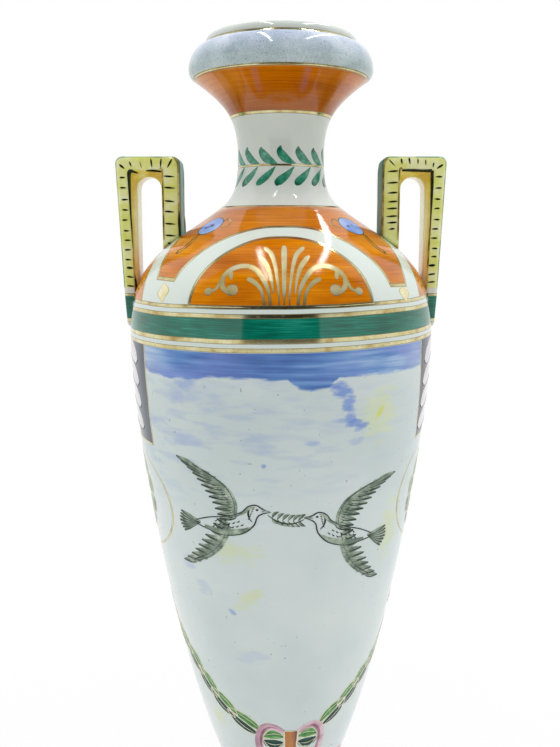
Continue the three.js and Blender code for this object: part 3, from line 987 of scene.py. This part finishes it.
coat.lay(ring.over(6.6, 0.5) * (1 - ring.over(8.3, 0.4) * 0.85) * (blotch * 0.45 + 0.5), "2E8266")
# The side of each handle that faces the neck is teal. On the right handle it is painted darker, and dark
# green towards the top, as painted shade for the darker reflection that side shows.
pool = coat.noise(50, 3, (1, 1, 0.4))
light_teal = pool.ramp((0.3, "6CAAA2"), (0.7, "A6D2CC"))
shaded_teal = pool.ramp((0.3, "20705A"), (0.7, "5A9C84"))
coat.lay(neck_side, coat.right.mix(light_teal, shaded_teal))
coat.lay(neck_side * coat.right * coat.height.over(503, 22) * 0.9, "006A3E")
coat.lay(neck_side * ring.under(8.2, 0.3), coat.height.over(500, 20).mix("7A6A2E", "00582F"))
coat.matt = neck_side + slope * 0.7
coat.lay(coat.height.under(439.6), "E6E8DC")
coat.gild(coat.height, 434.2, 435.6)
coat.lay(coat.height.under(434), brushed_green(coat))
coat.gild(coat.height, 417, 419)
coat.lay(coat.height.under(416.8), "E6E8DC")
handle_paint = coat.finish()
for name, side in (("handle_right", 1), ("handle_left", -1)):
    made = piece("painted_" + name, handle(side), handle_paint, name)
    rounded = made.modifiers.new("cast_softness", "SUBSURF")
    rounded.levels = rounded.render_levels = 2

# The brushwork of the handles is put on the flat faces by hand: short dark dashes across
# the lime bands, a black line that shades each window, and thin brown-gold edges.
WINDOW_SLOPE = 1.2
WINDOW_DEPTH = 4.5


class FaceBrush(Brush):
    """Strokes on the flat faces of the handles and down into their windows, placed by x
    and height in millimetres."""

    def seat(self, point, lift=0.0):
        x, fall = abs(point.x) / MM, RECESS["top"] - point.z / MM
        share = min(max(fall / (RECESS["top"] - BEND_HEIGHT), 0), 1)
        edge = RECESS["outer"] + (RECESS["bend"] - RECESS["outer"]) * share
        inside = max(min(edge - x, x - RECESS["inner"], fall), 0)
        depth = HANDLE_FACE - min(inside * WINDOW_SLOPE, WINDOW_DEPTH)
        return Vector((point.x, copysign(depth * MM + lift, point.y), point.z))

    def place(self, across, height):
        return self.seat(Vector((across * MM, 1 if Brush.behind else -1, height * MM)))


dashes = FaceBrush()
black_lines = FaceBrush(lift=0.2)
brown_lines = FaceBrush(lift=0.14)
DASH_SHAPE = (0, 0.3), (0.25, 1), (0.6, 1), (1, 0.25)
OUTER_LEG_SLOPE = 0.041
RIGHT_INNER = 515.1, 507.8, 501.4, 495.7, 491.3, 486.3, 482.2, 478.1
LEFT_INNER = 511.8, 504.6, 496, 489.3, 481.4, 473.8, 468.6
LEFT_TOP = (
    (105.2, 519.4, 101.9, 516.8, 1.3), (98.6, 521.3, 97.4, 518, 1), (84.6, 523.2, 84, 517.6, 1),
    (77.9, 523.2, 78.5, 517.6, 1), (70.9, 522.8, 74, 517.4, 1.2),
)
RIGHT_TOP = (
    (70.3, 522.5, 74.4, 518.4, 0.7), (78.2, 523.2, 78.9, 519.6, 1.1), (83.3, 523.8, 84, 519.6, 1.1),
    (89.1, 523.2, 89.2, 519.6, 0.8), (94.1, 522.5, 94.3, 518.9, 0.8), (99.5, 520.8, 99, 517.6, 0.9),
    (105.6, 519.4, 101.5, 516.8, 1.3),
)
WINDOW_LINES = (
    ((79, 515.7, 1.2), (86, 515.7, 1.6), (93, 515.4, 1.4), (98.4, 515.4, 2)),
    ((98.6, 515.6, 1.8), (98.8, 506, 1.8), (98.7, 495, 1.3), (98.5, 484, 0.7), (98.3, 474, 0.2)),
    ((-78, 514.9, 0.7), (-83, 515.4, 1.1), (-88, 515.4, 0.5)),
    ((-93.4, 514, 0.4), (-96.4, 514.8, 1.5), (-98.9, 514.6, 2.4), (-99.1, 507, 1.8), (-98.8, 492, 1.2),
     (-98.4, 478, 0.7), (-98.1, 466, 0.2)),
    ((-97.2, 448, 0.3), (-96.8, 442, 1.3), (-97, 436.5, 0.9)),
    ((-67, 490, 0.5), (-66.9, 483, 1.6), (-66.7, 476, 1.5), (-66.6, 471, 0.8)),
)
EDGE_LINES = (
    ((77.4, 471), (77.3, 495), (77.4, 515.4), (79, 516.6)),
    ((66.9, 469), (67, 495), (67, 518), (69.4, 523.6)),
    ((98.6, 486), (98, 470), (97.6, 452), (97.4, 438.6)),
)


def dash(side, x0, z0, x1, z1, thick):
    """One short touch of the brush, thickest where it is put down."""
    marks = [(x0 + (x1 - x0) * share, z0 + (z1 - z0) * share, thick * width) for share, width in DASH_SHAPE]
    dashes.stroke(*marks, steps=8, side=side)


for _ in front_and_back():
    for side, inner, pitch, top in ((-1, LEFT_INNER, 7.2, LEFT_TOP), (1, RIGHT_INNER, 7, RIGHT_TOP)):
        for i in range(12):
            z = 511.4 - i * pitch + i * i * 0.07 + sin(i * 2.3 + side) * 0.3
            near = 105.6 - (520 - z) * OUTER_LEG_SLOPE + sin(i * 1.9) * 0.3
            far = near - 4 - sin(i * 1.3 + side) * 0.4 - (i > 8) * 0.8
            dash(side, near, z + sin(i * 2.6) * 0.2 + (i > 8) * 0.5, far, z, 1.1 + (i == 9) * 0.5)
        for i, z in enumerate(inner):
            short = (i + 1 == len(inner)) * 1.4
            dash(side, 76.4 - short, z + 0.3, 69.6 - sin(i * 1.7) * 0.4 + short, z - 0.2, 1.15)
        for touch in top:
            dash(side, *touch)
        for marks in EDGE_LINES:
            brown_lines.stroke(*[(x, z, 0.95) for x, z in marks], steps=16, side=side)
    brown_lines.stroke((-91.9, 521.3, 0.3), (-91.3, 519.3, 0.7), (-90.7, 517.4, 0.3))
    for marks in WINDOW_LINES:
        black_lines.stroke(*marks, steps=24)
coat = Coat("handle_ink", 220, (0.35, "0D1A08"), (0.65, "263416"))
handle_ink = coat.finish(specular=0.15)
dashes.finish("handle_dashes", handle_ink, "handle_glaze")
black_lines.finish("handle_window_lines", handle_ink, "handle_glaze")
coat = Coat("brown_gold_line", 160, (0.35, "6A5618"), (0.5, "A08A3A"), (0.66, "D2C280"))
brown_lines.finish("handle_edge_lines", coat.finish(), "handle_glaze")

# A line of gold covers the joint where each inner leg is luted to the shoulder, along
# the front and the back of the leg.
JOINT_DEPTH = HANDLE_FACE + 0.5
joint_lines = Brush(in_degrees=True, lift=0.12)
joint = [
    (degrees(atan2(x, JOINT_DEPTH)), body_height(hypot(x, JOINT_DEPTH)), 0.9) for x in (65.8, 69.6, 74, 78)
]
for _ in front_and_back():
    for side in (-1, 1):
        joint_lines.stroke(*joint, steps=16, side=side)
joint_lines.finish("handle_joint_lines", gold_leaf)

# The studio: a pale floor, a white world that is dim where the camera stands, and two
# long soft lamps overhead, whose reflections run down the shoulder.
floor_shape = bmesh.new()
bmesh.ops.create_grid(floor_shape, x_segments=1, y_segments=1, size=6)
coat = Coat("floor")
paper = coat.shader.inputs
paper["Base Color"].default_value = (0.8, 0.8, 0.8, 1)
paper["Roughness"].default_value = 0.9
camera_ray, glossy_ray, transmission_ray = [coat.start.node("LightPath", {}, i) for i in (0, 3, 6)]
glow = coat.start.node("Emission", {"Color": (1, 1, 1, 1), "Strength": 1.0})
far_white = coat.radius.over(260, 360) * 0.2 + 0.8
mirrored = glossy_ray.most(transmission_ray) * (coat.y.over(-60, 120) * 0.75 + 0.25)
shown = (camera_ray * far_white).most(mirrored)
mixed = coat.start.node("MixShader", {0: shown, 1: coat.start, 2: glow})
mixed.into(coat.tree.nodes["Material Output"].inputs[0])
solid("floor", floor_shape, coat.material)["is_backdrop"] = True

world = bpy.data.worlds.new("studio")
bpy.context.scene.world = world
world.use_nodes = True
background = world.node_tree.nodes["Background"]
start = Tone(world.node_tree, background.inputs["Strength"])
camera_ray, glossy_ray = [start.node("LightPath", {}, i) for i in (0, 3)]
direction = start.node("TexCoord", {})
across, toward, up = [direction.axis(i) for i in range(3)]
beside = start.math("ARCTAN2", abs(across), 0 - toward) * (180 / pi)
dark_room = beside.under(28, 2) * up.under(0.84, 0.06)
dark_ceiling = beside.under(80, 8) * up.between(0.3, 0.86, 0.06)
mirror_light = 0.96 - dark_room.most(dark_ceiling) * 0.92 - up.over(0.84, 0.1) * 0.7
soft_light = start.math("ADD", toward, 1, clamp=True) * 0.72 + up.most(0) * 0.62 + 0.06
strength = camera_ray + (1 - camera_ray) * (glossy_ray * mirror_light + (1 - glossy_ray) * soft_light)
strength.into(background.inputs["Strength"])
background.inputs["Color"].default_value = (1, 1, 1, 1)

SHOULDER_HEIGHT = 0.47
for name, spot, width, length, power in (
    ("lamp_right", (0.35, 0.18, 1.37), 0.024, 1.0, 2.4),
    ("lamp_left", (-0.16, -0.2, 1.37), 0.035, 0.9, 1.6),
):
    lamp = bpy.data.lights.new(name, "AREA")
    lamp.shape = "RECTANGLE"
    lamp.size, lamp.size_y = width, length
    lamp.energy = power
    holder = new_object(name, lamp)
    holder.location = spot
    holder.rotation_euler = (0, atan2(spot[0], spot[2] - SHOULDER_HEIGHT), 0)

bpy.context.scene.view_settings.view_transform = "Standard"

boxes = {"cad": cad_box, "visual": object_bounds()}
{name: [list(corner) for corner in box] for name, box in boxes.items()}
